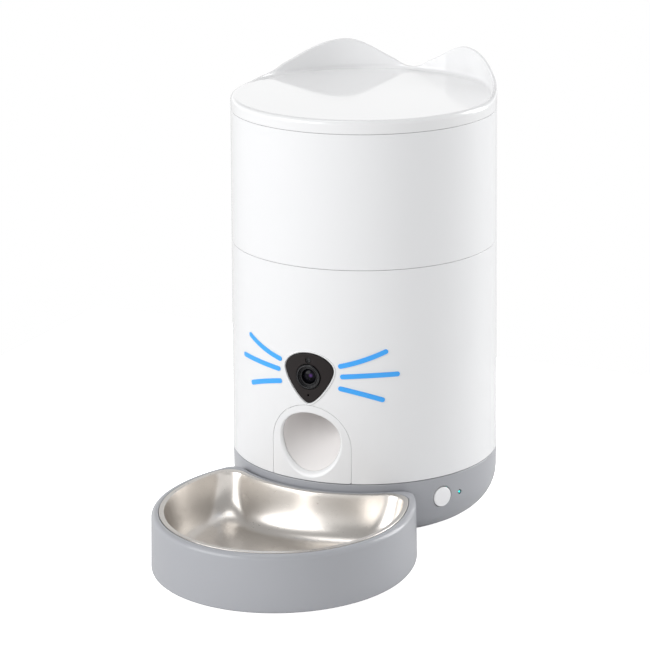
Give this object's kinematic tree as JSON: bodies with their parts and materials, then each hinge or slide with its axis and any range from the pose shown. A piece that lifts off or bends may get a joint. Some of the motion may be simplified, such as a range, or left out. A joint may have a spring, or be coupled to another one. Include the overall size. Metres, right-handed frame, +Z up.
{
  "type": "automatic pet feeder with camera",
  "caption": "Round countertop pet feeder: food tank under an eared lid, camera in a nose-shaped window, mouth-shaped chute and a steel bowl in a crescent tray.",
  "frame": {"origin": "centre of the footprint of the feeder with its tray pushed home, on the surface that it stands on", "axes": "+Z up; -Y to the front, where the bowl is; +X to the right of someone facing the front"},
  "size_m": [0.2, 0.3432, 0.3393],
  "materials": {
    "white_shell": "gloss white",
    "inner_plastic": "satin",
    "grey_plastic": "satin gloss grey",
    "black_plastic": "gloss black",
    "bowl_steel": "polished",
    "small_metal": "plated",
    "soft_silicone": "matt",
    "foot_rubber": "matt",
    "lens_glass": "coated",
    "blue_print": "satin blue",
    "light_pipe": "clear tinted",
    "circuit_board": "solder mask",
    "acetal": "natural",
    "dark_plastic": "matt"
  },
  "bodies": {
    "base": {"lower_housing": "white_shell", "mouth_panel": "white_shell", "food_chute": "inner_plastic", "rotor_deck": "inner_plastic", "gearbox_housing": "inner_plastic", "gearbox_cover": "inner_plastic", "base_shell": "grey_plastic", "battery_box": "black_plastic", "power_inlet": "black_plastic", "drop_emitter": "black_plastic", "drop_receiver": "black_plastic", "camera_bezel": "black_plastic", "camera_barrel": "black_plastic", "light_sensor": "black_plastic", "battery_contacts": "small_metal", "microphone": "small_metal", "deck_screw_1": "small_metal", "deck_screw_2": "small_metal", "deck_screw_3": "small_metal", "drive_motor": "small_metal", "idler_pin": "small_metal", "rubber_foot_1": "foot_rubber", "rubber_foot_2": "foot_rubber", "rubber_foot_3": "foot_rubber", "rubber_foot_4": "foot_rubber", "camera_lens": "lens_glass", "whisker_upper_left": "blue_print", "whisker_upper_right": "blue_print", "whisker_middle_left": "blue_print", "whisker_middle_right": "blue_print", "whisker_lower_left": "blue_print", "whisker_lower_right": "blue_print", "status_light": "light_pipe", "main_board": "circuit_board", "button_board": "circuit_board", "camera_board": "circuit_board", "shaft_bush": "acetal", "speaker": "dark_plastic", "camera_cable": "dark_plastic"},
    "battery_door": {"battery_door": "grey_plastic"},
    "feed_button": {"feed_button": "white_shell"},
    "rotor": {"output_gear": "acetal", "drive_shaft": "small_metal", "paddle_wheel": "inner_plastic", "soft_wiper": "soft_silicone"},
    "idler": {"idler_gear": "acetal"},
    "pinion": {"motor_pinion": "small_metal"},
    "tank": {"tank_shell": "white_shell", "food_hopper": "inner_plastic"},
    "lid": {"lid_shell": "white_shell", "lid_liner": "inner_plastic", "lid_seal": "soft_silicone", "desiccant_box": "inner_plastic"},
    "desiccant_cap": {"desiccant_cap": "inner_plastic"},
    "tray": {"bowl_tray": "grey_plastic", "tray_foot_1": "foot_rubber", "tray_foot_2": "foot_rubber", "tray_foot_3": "foot_rubber"},
    "bowl": {"steel_bowl": "bowl_steel"}
  },
  "joints": [
    {"name": "tank_lift", "type": "slide", "parent": "base", "child": "tank", "axis": [0, 0, 1], "range_m": [0, 0.12]},
    {"name": "lid_lift", "type": "slide", "parent": "tank", "child": "lid", "axis": [0, 0, 1], "range_m": [0, 0.06]},
    {"name": "desiccant_cap_turn", "type": "hinge", "parent": "lid", "child": "desiccant_cap", "pos_m": [0, 0.0716, 0.288], "axis": [0, 0, 1], "range_deg": [0, 30]},
    {"name": "rotor_spin", "type": "hinge", "parent": "base", "child": "rotor", "pos_m": [0, 0.0716, 0.14], "axis": [0, 0, 1], "continuous": true},
    {"name": "idler_spin", "type": "hinge", "parent": "base", "child": "idler", "pos_m": [0, 0.0956, 0.118], "axis": [0, 0, 1], "continuous": true},
    {"name": "pinion_spin", "type": "hinge", "parent": "base", "child": "pinion", "pos_m": [0, 0.1196, 0.114], "axis": [0, 0, 1], "continuous": true},
    {"name": "tray_slide", "type": "slide", "parent": "base", "child": "tray", "axis": [0, -1, 0], "range_m": [0, 0.06]},
    {"name": "bowl_lift", "type": "slide", "parent": "tray", "child": "bowl", "axis": [0, 0, 1], "range_m": [0, 0.05]},
    {"name": "feed_button_press", "type": "slide", "parent": "base", "child": "feed_button", "axis": [-0.8554, 0.518, 0], "range_m": [0, 0.001], "stiffness_N_per_m": 400},
    {"name": "battery_door_slide", "type": "slide", "parent": "base", "child": "battery_door", "axis": [0, 1, 0], "range_m": [0, 0.004]}
  ],
  "couplings": [
    {"joint": "idler_spin", "follows": "rotor_spin", "ratio": -3},
    {"joint": "pinion_spin", "follows": "rotor_spin", "ratio": 9}
  ]
}
